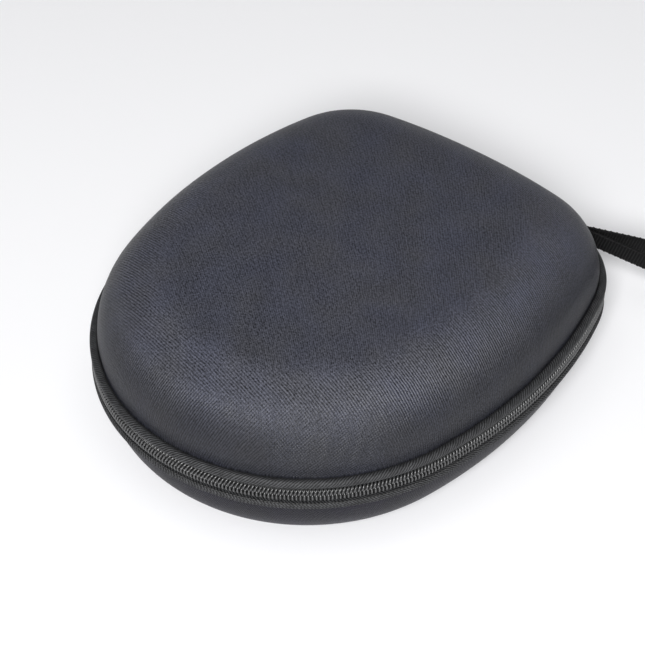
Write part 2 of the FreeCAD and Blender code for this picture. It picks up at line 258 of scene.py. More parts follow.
def strip_object(name, rows, cloth):
    """A mesh from an open run of closed sections, with flat ends."""
    points, faces, corners = grid(rows, cloth, False, True)
    size = len(rows[0])
    last = (len(rows) - 1) * size
    faces.append(tuple(reversed(range(size))))
    faces.append(tuple(last + j for j in range(size)))
    corners.append(tuple(reversed(cloth[0])))
    corners.append(tuple(cloth[-1]))
    return new_object(name, points, faces, corners)


def swept(name, arcs, section, side, step=2.0, is_open=False):
    """A closed section carried along the rim, with flat ends if the run is open."""
    places, run_length = stations(arcs, step, is_open)
    lengths = section_lengths(section)
    rows = [[place.at(u, h, side) for u, h in section] for place in places]
    cloth = [[(place.run * MM, d * MM) for d in lengths] for place in places]
    if is_open:
        return strip_object(name, rows, cloth)
    return new_object(name, *grid(rows, cloth, True, True, run_length))


ROUND_SHARE = 1 / 2.01      # of an edge, so that two round stretches never quite meet


def rounded(places, radius, steps=4):
    """A closed section with each corner replaced by a round stretch."""
    found = []
    count = len(places)
    for i in range(count):
        corner = Vector(places[i])
        before = Vector(places[i - 1]) - corner
        after = Vector(places[(i + 1) % count]) - corner
        reach = min(radius, ROUND_SHARE * before.length, ROUND_SHARE * after.length)
        first = corner + before.normalized() * reach
        last = corner + after.normalized() * reach
        for k in range(steps + 1):
            t = k / steps
            point = first * (1 - t) ** 2 + corner * (2 * t * (1 - t)) + last * t ** 2
            found.append((point.x, point.y))
    return found


# ---- shader nodes

class Shader:
    """A material under construction: a Principled BSDF and helpers for the nodes that feed it."""

    def __init__(self, name, **sockets):
        self.material = bpy.data.materials.new(name)
        self.material.use_nodes = True
        self.tree = self.material.node_tree
        self.bsdf = self.tree.nodes["Principled BSDF"]
        for key, value in sockets.items():
            self.bsdf.inputs[key.replace("_", " ")].default_value = value

    def node(self, kind, inputs=None, **settings):
        """A new shader node, with its settings and what goes into its sockets."""
        made = self.tree.nodes.new("ShaderNode" + kind)
        for key, value in settings.items():
            setattr(made, key, value)
        for key, value in (inputs or {}).items():
            self.feed(made.inputs[key], value)
        return made

    def feed(self, socket, value):
        """Joins a socket to another node's, or gives it a plain value."""
        if isinstance(value, bpy.types.NodeSocket):
            self.tree.links.new(value, socket)
        else:
            socket.default_value = value

    def calc(self, operation, first, second=0.0, third=0.0):
        """The result of one math node."""
        return self.node("Math", {0: first, 1: second, 2: third}, operation=operation).outputs[0]

    def cloth_xy(self):
        """The place on the flat fabric, in millimetres, as two values."""
        place = self.node("UVMap", uv_map="cloth").outputs[0]
        parts = self.node("SeparateXYZ", {0: place})
        return tuple(self.calc("MULTIPLY", parts.outputs[axis], 1 / MM) for axis in range(2))

    def solid_place(self):
        """The place in the piece's own space, in millimetres."""
        place = self.node("TexCoord").outputs["Object"]
        return self.node("VectorMath", {0: place, "Scale": 1 / MM}, operation="SCALE").outputs[0]

    def flat_place(self, x, y):
        """A vector from two values, for patterns that lie flat on the fabric."""
        return self.node("CombineXYZ", {0: x, 1: y}).outputs[0]

    def noise(self, place, size, detail=2.0, roughness=0.5):
        """Cloudy variation from 0 to 1, with patches about this many millimetres across."""
        inputs = {"Vector": place, "Scale": 1 / size, "Detail": detail, "Roughness": roughness}
        return self.node("TexNoise", inputs).outputs["Fac"]

    def ribs(self, distance, pitch):
        """Rounded ribs from 0 to 1, one per pitch of a distance in millimetres."""
        angle = self.calc("MULTIPLY", distance, TAU / pitch)
        return self.calc("MULTIPLY_ADD", self.calc("SINE", angle), 0.5, 0.5)

    def ramp(self, value, span, result=(0.0, 1.0)):
        """Carries a value from one range over to another, and holds it at the ends."""
        inputs = {0: value, 1: span[0], 2: span[1], 3: result[0], 4: result[1]}
        return self.node("MapRange", inputs, clamp=True).outputs[0]

    def mix_colour(self, share, first, second):
        """A colour between two, at a share of the way."""
        made = self.node("Mix", data_type="RGBA")
        self.feed(made.inputs[0], share)
        self.feed(made.inputs[6], first)
        self.feed(made.inputs[7], second)
        return made.outputs[2]

    def frayed(self, weave, yarn, amount):
        """A weave with its yarns' own unevenness, which runs from 0 to 1, laid over it."""
        return self.calc("MULTIPLY_ADD", self.calc("SUBTRACT", yarn, 0.5), amount, weave)

    def paint(self, share, first, second):
        """Gives the surface a colour between two, at a share of the way."""
        self.feed(self.bsdf.inputs["Base Color"], self.mix_colour(share, first, second))

    def roughen(self, value):
        """Gives the surface its roughness."""
        self.feed(self.bsdf.inputs["Roughness"], value)

    def bump(self, height, depth, strength=1.0):
        """Raises the surface by a height from 0 to 1 times a depth in millimetres."""
        made = self.node("Bump", {"Height": height, "Distance": depth * MM, "Strength": strength})
        self.feed(self.bsdf.inputs["Normal"], made.outputs[0])


def grey(value, red=1.0, green=1.0, blue=1.0):
    """A shade of grey, tinted by a factor for each channel."""
    return (value * red, value * green, value * blue, 1.0)


# ---- materials

TWILL_DIAGONAL = 0.9      # pitch of the slanting ribs, as a share of the pitch of the pulled ones


def twill_ribs(shader, x, y, drift, rib_pitch):
    """Ribs across, along and slanting, each as strong as the cloth's pull lets it show."""
    pull = shader.node("Attribute", attribute_name="pull").outputs["Vector"]
    pulled = shader.node("SeparateXYZ", {0: pull})
    slanting = shader.calc("ADD", x, y)
    ways = ((x, rib_pitch), (y, rib_pitch), (slanting, rib_pitch * TWILL_DIAGONAL))
    shown = []
    for way, (distance, pitch) in enumerate(ways):
        ribs = shader.ribs(shader.calc("ADD", distance, drift), pitch)
        shown.append(shader.calc("MULTIPLY", ribs, pulled.outputs[way]))
    return shader.calc("ADD", shader.calc("ADD", shown[0], shown[1]), shown[2])


def twill_material(name, rib_pitch, light, dark, shine):
    """Moulded polyester twill, with painted shade that darkens its colour down the curved walls."""
    shader = Shader(name, Specular_IOR_Level=shine)
    x, y = shader.cloth_xy()
    flat = shader.flat_place(x, y)
    drift = shader.calc("MULTIPLY", shader.noise(flat, size=9.0, detail=3.0), 1.2)
    yarn = shader.noise(flat, size=0.7, detail=2.0, roughness=0.7)
    grain = shader.noise(flat, size=1.0, detail=2.0, roughness=0.8)
    patches = shader.noise(flat, size=14.0, detail=2.0)
    bluer = shader.noise(flat, size=24.0, detail=2.0)
    weave = twill_ribs(shader, x, y, drift, rib_pitch)
    fibre = shader.frayed(weave, yarn, 0.9)
    tone = shader.ramp(fibre, (0.0, 1.0), (0.0, 0.9))
    tone = shader.calc("ADD", tone, shader.ramp(grain, (0.38, 0.62), (0.0, 1.1)))
    tone = shader.calc("ADD", tone, shader.ramp(patches, (0.35, 0.7), (0.0, 0.2)))
    # Painted shade: the colour darkens down the curved walls, to 0.3 of itself at their foot.
    painted_wall_shade = shader.node("Attribute", attribute_name="painted_wall_shade").outputs["Fac"]
    tone = shader.calc("MULTIPLY", tone, shader.ramp(painted_wall_shade, (0.0, 1.0), (1.0, 0.3)))
    dyed = shader.mix_colour(shader.ramp(bluer, (0.35, 0.65)), light, grey(light[1], 0.98, 1.0, 1.2))
    shader.paint(shader.ramp(tone, (0.0, 1.9)), dark, dyed)
    shader.roughen(shader.ramp(yarn, (0.2, 0.8), (0.36, 0.52)))
    shader.bump(fibre, depth=0.2, strength=1.0)
    return shader.material


def welt_material():
    """Twill cut on the bias and folded over the bead, darker in patches."""
    shader = Shader("welt_twill", Roughness=0.6, Specular_IOR_Level=0.3)
    x, y = shader.cloth_xy()
    flat = shader.flat_place(x, y)
    slant = shader.calc("ADD", x, y)
    wander = shader.noise(flat, size=3.0)
    ribs = shader.ribs(shader.calc("MULTIPLY_ADD", wander, 1.5, slant), pitch=1.35)
    yarn = shader.noise(flat, size=0.6, detail=2.0, roughness=0.7)
    patches = shader.noise(flat, size=3.5, detail=2.0)
    weave = shader.frayed(ribs, yarn, 0.8)
    patchy = shader.ramp(patches, (0.25, 0.7), (0.35, 1.0))
    tone = shader.calc("MULTIPLY", patchy, shader.ramp(weave, (0.1, 1.0)))
    shader.paint(tone, grey(0.004, 0.98, 1.0, 1.06), grey(0.075, 0.98, 1.0, 1.06))
    shader.bump(weave, depth=0.12, strength=0.9)
    return shader.material


def tape_material(name, light, dark, pitch, slant):
    """Closely woven narrow tape, with a rib across its length and a slanting thread."""
    shader = Shader(name, Roughness=0.7, Specular_IOR_Level=0.3)
    x, y = shader.cloth_xy()
    flat = shader.flat_place(x, y)
    ribs = shader.ribs(shader.calc("MULTIPLY_ADD", y, slant, x), pitch)
    rows = shader.ribs(y, pitch * 1.6)
    yarn = shader.noise(flat, size=0.5, detail=2.0, roughness=0.7)
    weave = shader.calc("MULTIPLY", ribs, shader.ramp(rows, (0.0, 1.0), (0.55, 1.0)))
    weave = shader.frayed(weave, yarn, 0.6)
    shader.paint(shader.ramp(weave, (0.0, 1.0)), dark, light)
    shader.bump(weave, depth=0.1, strength=0.8)
    return shader.material


def webbing_material():
    """Nylon webbing: the ribs are in the mesh, and the yarns and the shine are here."""
    shader = Shader("webbing", Roughness=0.55, Specular_IOR_Level=0.12)
    x, y = shader.cloth_xy()
    flat = shader.flat_place(x, y)
    yarns = shader.ribs(y, pitch=0.62)
    twist = shader.ribs(shader.calc("MULTIPLY_ADD", y, 0.7, x), pitch=0.43)
    fibre = shader.noise(flat, size=0.4, detail=2.0, roughness=0.7)
    weave = shader.calc("MULTIPLY_ADD", twist, 0.4, shader.calc("MULTIPLY", yarns, 0.6))
    weave = shader.frayed(weave, fibre, 0.5)
    shader.paint(shader.ramp(weave, (0.0, 1.0)), grey(0.002), grey(0.009, 0.98, 0.98, 1.05))
    shader.bump(weave, depth=0.1, strength=0.8)
    return shader.material


def nylon_material():
    """The coil's extruded nylon: smooth, with faint drawing marks and a little dust."""
    shader = Shader("zip_coil", Specular_IOR_Level=1.0)
    place = shader.solid_place()
    dust = shader.noise(place, size=1.1, detail=3.0)
    shader.paint(shader.ramp(dust, (0.4, 0.8)), grey(0.03, 1.0, 1.02, 1.05), grey(0.055))
    shader.roughen(shader.ramp(dust, (0.3, 0.8), (0.28, 0.4)))
    shader.bump(shader.noise(place, size=0.3, detail=2.0), depth=0.02, strength=0.5)
    return shader.material


def thread_material(name, light, dark, roughness):
    """Sewing thread with a visible twist."""
    shader = Shader(name, Roughness=roughness, Specular_IOR_Level=0.5)
    place = shader.solid_place()
    twist = shader.noise(place, size=0.35, detail=2.0, roughness=0.7)
    shader.paint(shader.ramp(twist, (0.35, 0.65)), dark, light)
    shader.bump(twist, depth=0.05, strength=0.8)
    return shader.material


def lining_material():
    """Brushed fleece: a short pile that lies in soft patches."""
    shader = Shader(
        "lining", Roughness=0.95, Specular_IOR_Level=0.15, Sheen_Weight=0.35, Sheen_Roughness=0.4
    )
    place = shader.solid_place()
    pile = shader.noise(place, size=0.6, detail=3.0, roughness=0.75)
    brushed = shader.noise(place, size=16.0, detail=3.0)
    tone = shader.calc("MULTIPLY_ADD", brushed, 0.6, shader.ramp(pile, (0.3, 0.7), (0.0, 0.5)))
    shader.paint(tone, grey(0.018, 1.0, 1.0, 1.05), grey(0.05, 1.0, 1.0, 1.04))
    shader.bump(pile, depth=0.25, strength=0.8)
    return shader.material


def metal_material(name, shade, roughness):
    """Painted die-cast metal: fine speckle, and paint rubbed thinner in places."""
    shader = Shader(name, Metallic=0.6, Specular_IOR_Level=0.5)
    place = shader.solid_place()
    rubbed = shader.noise(place, size=3.0, detail=4.0, roughness=0.6)
    speckle = shader.noise(place, size=0.25, detail=2.0)
    shader.paint(shader.ramp(rubbed, (0.55, 0.75)), grey(shade), grey(shade * 2.6))
    shader.roughen(shader.ramp(rubbed, (0.3, 0.7), (roughness + 0.12, roughness - 0.08)))
    shader.bump(speckle, depth=0.02, strength=0.5)
    return shader.material


def rubber_material():
    """Moulded soft grip, matt, with a fine spark-eroded grain."""
    shader = Shader("grip", Specular_IOR_Level=0.4)
    place = shader.solid_place()
    grain = shader.noise(place, size=0.35, detail=2.0, roughness=0.6)
    smudge = shader.noise(place, size=5.0, detail=3.0)
    shader.paint(shader.ramp(smudge, (0.3, 0.8)), grey(0.014), grey(0.026))
    shader.roughen(shader.ramp(smudge, (0.3, 0.7), (0.5, 0.68)))
    shader.bump(grain, depth=0.05, strength=0.7)
    return shader.material


def floor_material():
    """The studio's plain pale floor."""
    return Shader(
        "studio_floor", Base_Color=(0.93, 0.93, 0.945, 1.0), Roughness=0.9, Specular_IOR_Level=0.1
    ).material


# ---- shell covers

COVER_STEP = 2.2
SHOULDER_STEPS = 20
PLATEAU_STEPS = 14
INNER_POWER = 2.0
FABRIC_TURN = math.radians(-12.0)
TUCK = 0.5                # how far the foot of the wall is drawn in where it is sewn to the welt
TUCK_HEIGHT = 3.5         # above the foot, where the tuck has ended
CROWN_EDGE = 0.85         # share of the way to the rim where the crown starts
WAVE_DEPTH = 0.22         # the foam's slight unevenness
WAVE_RATE = 0.022
WAVE_FADE = 8.0
WAVE_SHARE = {LID: 1.0, BASE: 0.5}
PAINTED_SHADE_START = 0.3         # share of the way down the wall where the painted shade starts
PAINTED_SHADE_SPAN = 0.5


def turned(x, y):
    """Coordinates on the fabric, which lies a few degrees off the case's own axes."""
    cosine, sine = math.cos(FABRIC_TURN), math.sin(FABRIC_TURN)
    return (cosine * x + sine * y) * MM, (cosine * y - sine * x) * MM


def smooth_step(t):
    """Rises smoothly from 0 to 1 while t does, and stays flat outside."""
    t = max(0.0, min(1.0, t))
    return t * t * (3 - 2 * t)


def shoulder_section(inset, rise, power, layer):
    """The curved wall from its foot at the welt to its flat top, as (u, h)."""
    found = []
    for j in range(SHOULDER_STEPS + 1):
        angle = math.pi / 2 * j / SHOULDER_STEPS
        across = math.cos(angle) ** (2 / power)
        up = math.sin(angle) ** (2 / power)
        h = WELT_TOP + (rise - layer) * up
        tuck = TUCK * max(0.0, 1 - (h - WELT_TOP) / TUCK_HEIGHT) ** 2
        u = -WELT_OVERHANG - inset + (inset - layer) * across - tuck
        found.append((u, h))
    return found


def rib_weights(slope, front):
    """How strongly each set of ribs shows, from the share of slope and how far the wall faces the ends."""
    down = smooth_step((slope - 0.38) / 0.25) * front ** 1.5
    across = smooth_step((slope - 0.05) / 0.3) * (1 - down)
    return down, across, 1.0 - max(down, across)


def cover_line(station, outer, centre_y):
    """One station's line over the outside, from the middle of the top out and down to the welt.

    Each point has its x, y and h, its place on the fabric, and its share of the way down the wall."""
    lengths = section_lengths(outer)
    whole = lengths[-1]
    reach, top = outer[-1]
    edge = (station.x + reach * station.out[0], station.y + reach * station.out[1])
    line = []
    for k in range(1, PLATEAU_STEPS + 1):
        share = k / PLATEAU_STEPS
        x, y = edge[0] * share, centre_y + (edge[1] - centre_y) * share
        line.append((x, y, top, turned(x, y), 0.0))
    for (u, h), run in reversed(list(zip(outer, lengths))[:-1]):
        out = whole - run
        cloth = turned(edge[0] + out * station.out[0], edge[1] + out * station.out[1])
        line.append((station.x + u * station.out[0], station.y + u * station.out[1], h, cloth, out / whole))
    return line


def cover_height(x, y, h, share, side, crown):
    """A point's height with the crown, from its share of the way to the rim, and the foam's unevenness."""
    lift = crown * smooth_step((CROWN_EDGE - share) / CROWN_EDGE)
    wave = WAVE_DEPTH * noise.noise(Vector((x * WAVE_RATE, y * WAVE_RATE, 3.0 * side)))
    wave *= smooth_step((h - WELT_TOP) / WAVE_FADE) * WAVE_SHARE[side]
    if side == BASE:
        wave = -abs(wave)
    return MIDDLE_HEIGHT + side * (h + lift + wave)


def cover_mesh(name, columns, fabric, centre_y, weights, painted_wall_shade):
    """Joins the columns round the case, closes the middle of both faces, and stores the cloth's pull and
    the painted shade down its walls.
    """
    points, faces, corners = grid(columns, fabric, True, False)
    size = len(columns[0])
    middle = len(points)
    points.append(Vector((0, centre_y * MM, columns[0][0].z)))
    points.append(Vector((0, centre_y * MM, columns[0][-1].z)))
    for i in range(len(columns)):
        k = (i + 1) % len(columns)
        faces.append((middle, k * size, i * size))
        corners.append((turned(0, centre_y), fabric[k][0], fabric[i][0]))
        faces.append((middle + 1, i * size + size - 1, k * size + size - 1))
        corners.append((fabric[i][-1],) * 3)
    cover = new_object(name, points, faces, corners)
    weights = weights + [(0.0, 0.0, 1.0)] * 2
    layer = cover.data.attributes.new("pull", "FLOAT_VECTOR", "POINT")
    layer.data.foreach_set("vector", [c for weight in weights for c in weight])
    layer = cover.data.attributes.new("painted_wall_shade", "FLOAT", "POINT")
    layer.data.foreach_set("value", painted_wall_shade + [0.0, 0.0])
    return cover


def shell_cover(name, side, inset, rise, power, crown):
    """One half's fabric-covered foam: the outer skin, the rim, and the inner face behind the lining."""
    places, _ = stations(OUTLINE, COVER_STEP, False)
    centre_y = sum(station.y for station in places) / len(places)
    outer = shoulder_section(inset, rise, power, 0.0)
    foot = -WELT_OVERHANG
    hem = ZIP_HALF_GAP + TAPE_HEM
    inside = [(foot, hem), (foot - TAPE, hem), (foot - TAPE, ZIP_HALF_GAP), (foot - WALL, ZIP_HALF_GAP)]
    inside += shoulder_section(inset, rise, INNER_POWER, WALL)
    columns = []
    fabric = []
    weights = []
    painted_wall_shade = []
    for station in places:
        half_width = math.hypot(station.x, station.y - centre_y)
        column = []
        cloth = []
        shares = []
        for x, y, h, place, share in cover_line(station, outer, centre_y):
            out = math.hypot(x, y - centre_y) / half_width
            height = cover_height(x, y, h, out, side, crown)
            column.append(Vector((x * MM, y * MM, height * MM)))
            cloth.append(place)
            shares.append(share)
        column += [station.at(u, h, side) for u, h in inside]
        cloth += [cloth[-1]] * len(inside)
        shares += [1.0] * len(inside)
        columns.append(column)
        fabric.append(cloth)
        weights += [rib_weights(share, abs(station.out[1])) for share in shares]
        painted_wall_shade += [smooth_step((share - PAINTED_SHADE_START) / PAINTED_SHADE_SPAN) for share in shares]
    # Painted shade: it grows with the share of the way down the wall.
    return cover_mesh(name, columns, fabric, centre_y, weights, painted_wall_shade)


# ---- rim pieces

# The sections' points are (u, h). Both beads have the same top.
BEAD_TOP = [(-3.9, 5.6), (-3.35, 5.6), (-3.15, 6.3), (-2.7, 6.85), (-1.9, 7.1), (-1.2, 7.05)]
WELT_SECTIONS = {
    LID: BEAD_TOP + [
        (-0.6, 6.75), (-0.2, 6.3), (0.0, 5.7), (0.0, 5.1), (-0.1, 4.5), (-0.45, 4.05),
        (-1.1, 3.78), (-2.2, 3.75), (-3.2, 3.78), (-3.9, 4.2),
    ],
    BASE: BEAD_TOP + [
        (-0.5, 6.85), (-0.1, 6.5), (0.0, 6.1), (-0.25, 5.85), (0.0, 5.6), (0.05, 5.3), (-0.1, 4.95),
        (-0.5, 4.65), (-1.1, 4.5), (-2.2, 4.45), (-3.2, 4.48), (-3.9, 4.7),
    ],
}
BINDING_SECTION = [
    (-3.95, 3.7), (-4.1, 3.45), (-7.5, 3.45), (-7.85, 3.8), (-7.9, 8.1), (-7.3, 8.2), (-7.25, 4.0),
    (-6.9, 3.72), (-4.2, 3.72),
]
TAPE_LOW = 0.5            # from the zip's middle line to the edge of the tape
THREAD = 0.22             # radius of the stitches along the rim


def half_rim(name, side, fabric, tape, trim, thread):
    """The welt, zip tape, inner binding and its stitches of one half."""
    bead = swept(name + "_welt_bead", OUTLINE, WELT_SECTIONS[side], side)
    dress(bead, name, fabric, "welt_twill", name + "_welt")
    low, high = TAPE_LOW, ZIP_HALF_GAP + TAPE_HEM
    outer, inner = -WELT_OVERHANG, -WELT_OVERHANG - TAPE
    strip = rounded([(inner, low), (outer, low), (outer, high), (inner, high)], 0.2, 2)
    woven = swept(name + "_tape_strip", ZIP_ARCS, strip, side, is_open=True)
    dress(woven, name, tape, "zip_tape", name + "_zip_tape")
    bound = swept(name + "_binding_wrap", OUTLINE, rounded(BINDING_SECTION, 0.2, 2), side)
    dress(bound, name, trim, "binding", name + "_edge_binding")
    row = stitch_row(name + "_binding_stitches", OUTLINE, side, u=-7.95, h=5.2, pitch=3.2, length=2.2)
    dress(row, name, thread, "binding")
    if side == BASE:
        row = stitch_row(
            name + "_tape_stitches", ZIP_ARCS, side, u=-0.5, h=4.15, pitch=COIL_PITCH, length=1.25
        )
        dress(row, name, thread, "zip_tape")


def dress(piece, body, material, slot, *replaced):
    """Gives a piece its material and its body, and hides the nodes that it stands for. The slot is not
    used.
    """
    piece.data.materials.clear()
    piece.data.materials.append(material)
    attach(piece, body)
    if replaced:
        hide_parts(*replaced)


THREAD_PROFILE = ((0.0, 0.35), (0.15, 0.9), (0.5, 1.15), (0.85, 0.9), (1.0, 0.35))
THREAD_SIDES = 6


def tube_faces(rings, sides):
    """Faces of a tube with closed ends, whose points come ring by ring."""
    faces = []
    for i in range(rings - 1):
        a, b = i * sides, (i + 1) * sides
        for k in range(sides):
            m = (k + 1) % sides
            faces.append((a + k, a + m, b + m, b + k))
    faces.append(tuple(reversed(range(sides))))
    faces.append(tuple((rings - 1) * sides + k for k in range(sides)))
    return faces


def thread_points(first, last, radius):
    """Points of a short thread from one point to another, thinner at its ends."""
    axis = (last - first).normalized()
    across = axis.orthogonal().normalized()
    other = axis.cross(across)
    points = []
    for share, size in THREAD_PROFILE:
        centre = first.lerp(last, share)
        for k in range(THREAD_SIDES):
            turn = TAU * k / THREAD_SIDES
            points.append(centre + (across * math.cos(turn) + other * math.sin(turn)) * (radius * size))
    return points


def stitches(name, ends, radius):
    """One object of many short threads, from their ends in metres and a radius in millimetres."""
    shape = tube_faces(len(THREAD_PROFILE), THREAD_SIDES)
    points = []
    faces = []
    for first, last in ends:
        start = len(points)
        points += thread_points(first, last, radius * MM)
        faces += [tuple(start + i for i in face) for face in shape]
    return new_object(name, points, faces)


def stitch_row(name, arcs, side, u, h, pitch, length):
    """A row of stitches along the rim."""
    whole = arcs_length(arcs)
    count = int(whole / pitch)
    ends = []
    for i in range(count):
        start = i * whole / count
        first = station_at(arcs, start).at(u, h, side)
        last = station_at(arcs, start + length).at(u, h, side)
        ends.append((first, last))
    return stitches(name, ends, THREAD)


# ---- zip coil

TURN_POINTS = 18
WIRE_SIDES = 6


def coil_row(name, side, offset):
    """One row of the zip. Each turn's two legs lie over each other, and the wire steps on at the root.

    The heads lock between the other row's."""
    arcs = trimmed(ZIP_ARCS, COIL_END_ANGLE, COIL_END_ANGLE)
    whole = arcs_length(arcs)
    turns = int(whole / COIL_PITCH) - 1
    root = COIL_ROOTS[side]
    half_reach = (root - COIL_HEAD) / 2 - COIL_WIRE
    half_depth = (COIL_FACE - COIL_FLOOR) / 2 - COIL_WIRE
    middle_h = (root + COIL_HEAD) / 2
    middle_u = (COIL_FACE + COIL_FLOOR) / 2
    points = []
    for i in range(turns * TURN_POINTS + 1):
        angle = TAU * i / TURN_POINTS
        cosine, sine = math.cos(angle), math.sin(angle)
        h = middle_h - half_reach * math.copysign(abs(cosine) ** HEAD_SQUARENESS, cosine)
        depth = half_depth * math.copysign(abs(sine) ** COIL_SQUARENESS[side], sine)
        u = middle_u + depth - COIL_BULGE * h * h
        turns_done, share = divmod(i / TURN_POINTS, 1.0)
        stepped = smooth_step((share - COIL_STEP_FROM[side]) / COIL_STEP_SHARE)
        station = station_at(arcs, COIL_PITCH * (turns_done + stepped + offset))
        head = max(0.0, cosine) ** 4
        for k in range(WIRE_SIDES):
            turn = TAU * (k + 0.5) / WIRE_SIDES
            out = COIL_WIRE * math.cos(turn)
            along = COIL_WIRE * (1.0 - HEAD_NARROWING * head) * math.sin(turn)
            points.append(station.at(u + out * sine, h - out * cosine, side, along))
    return new_object(name, points, tube_faces(len(points) // WIRE_SIDES, WIRE_SIDES))


# ---- hinge panel

PANEL_FACE = -1.75
PANEL_FULLNESS = 0.45
PANEL_THICKNESS = 0.7
PANEL_TUCK = 0.5
PANEL_STEPS = 16
PANEL_END_ANGLE = 0.3


def hinge_panel(fabric):
    """The twill panel between the welts at the back, a little full."""
    half = ZIP_HALF_GAP + PANEL_TUCK
    heights = [half * (2 * j / PANEL_STEPS - 1) for j in range(PANEL_STEPS + 1)]
    outer = [(PANEL_FACE + PANEL_FULLNESS * math.cos(math.pi / 2 * h / half), h) for h in heights]
    inner = [(u - PANEL_THICKNESS, h) for u, h in reversed(outer)]
    run = trimmed([HINGE_ARC], PANEL_END_ANGLE, PANEL_END_ANGLE)
    panel = swept("hinge_panel", run, outer + inner, LID, is_open=True)
    panel.data.materials.append(fabric)
    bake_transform(panel)
    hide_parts("hinge_spine")


# ---- wrist loop

RIB_PITCH = 1.3
RIB_STEPS = 7
RIB_DEPTH = 0.2           # of the webbing's half thickness
EDGE_WAVE = 0.035         # of its half width
FLATNESS = 0.92           # mean height of the ribs, as a share of the webbing's half thickness
LEG_GAP = 0.03
END_EASE = 0.4
SLACK = 0.2
SLACK_RATE = 0.045
SLACK_START = 30.0
WEBBING_QUARTER = [(0.0, 0.95), (0.4, 0.96), (0.8, 1.0), (0.93, 0.9), (0.985, 0.55)]
WEBBING_TOP = [(-across, depth) for across, depth in reversed(WEBBING_QUARTER[1:])] + WEBBING_QUARTER
WEBBING_UNDER = [(across, -depth) for across, depth in reversed(WEBBING_TOP)]
WEBBING_SECTION = [(-1.0, 0.0)] + WEBBING_TOP + [(1.0, 0.0)] + WEBBING_UNDER


def strap_frame():
    """The loop's own frame: X along the loop, Y across it, Z along the webbing's width."""
    x, y = polar(RIGHT_CORNER[0], CORNER_RADIUS + STRAP_ROOT_OUT, RIGHT_CORNER[3])
    origin = Vector((x, y, MIDDLE_HEIGHT + STRAP_ROOT_RISE))
    turn = Matrix.Rotation(math.radians(STRAP_HEADING), 4, "Z")
    droop = Matrix.Rotation(math.radians(STRAP_DROOP), 4, "Y")
    lean = Matrix.Rotation(math.radians(STRAP_LEAN), 4, "X")
    return Matrix.Translation(origin) @ turn @ droop @ lean


STRAP_FRAME = strap_frame()


def on_strap(x, y, z):
    """A point in the loop's own frame, carried over to the scene, in metres."""
    return (STRAP_FRAME @ Vector((x, y, z))) * MM


def leg_y(x):
    """How far a leg's middle plane is from the loop's own middle plane."""
    straight = x * math.tan(math.radians(STRAP_SPREAD))
    least = STRAP_THICKNESS / 2 + LEG_GAP
    return (straight ** 4 + least ** 4) ** 0.25


def strap_line(step):
    """The webbing's middle line, out along one leg, round the end and back, as (x, y)."""
    spread = math.radians(STRAP_SPREAD)
    radius = STRAP_REACH * math.sin(spread) / (1 + math.sin(spread)) - END_EASE
    centre = STRAP_REACH - radius - STRAP_THICKNESS / 2
    touch = centre - radius * math.sin(spread)
    leg_steps = round(touch / step)
    found = [(touch * i / leg_steps, leg_y(touch * i / leg_steps)) for i in range(leg_steps)]
    scale = leg_y(touch) / (radius * math.cos(spread))
    first = math.pi / 2 + spread
    arc_steps = round(2 * first * radius / step)
    for i in range(arc_steps + 1):
        angle = first - 2 * first * i / arc_steps
        found.append((centre + radius * math.cos(angle), radius * math.sin(angle) * scale))
    found += [(x, -y) for x, y in reversed(found[:leg_steps])]
    return found


def webbing_loop(material):
    """Ribbed webbing, folded back on itself, in one piece from the seam to the loop's round end."""
    line = strap_line(RIB_PITCH / RIB_STEPS)
    run = 0.0
    rows = []
    cloth = []
    for i, (x, y) in enumerate(line):
        before, after = line[max(0, i - 1)], line[min(len(line) - 1, i + 1)]
        heading = math.atan2(after[1] - before[1], after[0] - before[0])
        side = (-math.sin(heading), math.cos(heading))
        if i:
            run += math.hypot(x - line[i - 1][0], y - line[i - 1][1])
        grown = smooth_step(x / TAB_REACH)
        half_width = (STRAP_ROOT_WIDTH + (STRAP_WIDTH - STRAP_ROOT_WIDTH) * grown) / 2
        half_width *= 1 + EDGE_WAVE * math.cos(TAU * run / (RIB_PITCH * 2))
        rib = 1 + RIB_DEPTH * math.cos(TAU * run / RIB_PITCH)
        slack = SLACK * math.sin(run * SLACK_RATE) * smooth_step(x / SLACK_START)
        row = []
        places = []
        for across, depth in WEBBING_SECTION:
            thick = depth * STRAP_THICKNESS / 2 * FLATNESS * rib
            row.append(on_strap(x + side[0] * thick, y + side[1] * thick + slack, across * half_width))
            places.append((run * MM, (across + depth * 0.1) * half_width * MM))
        rows.append(row)
        cloth.append(places)
    loop = strip_object("wrist_loop", rows, cloth)
    loop.data.materials.append(material)
    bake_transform(loop)
    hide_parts("strap_tab", "strap_loop")


ANCHOR_ANGLE = 3.0
ANCHOR_FACE = 0.15
ANCHOR_BACK = -1.8
ANCHOR_LOW = -3.6
ANCHOR_HIGH = 3.2
TACK_FACE = 0.2
TACK_ANGLES = [0.4 + 0.36 * i for i in range(7)]
SEAM_PLACES = [1.9 + 0.75 * i for i in range(5)]


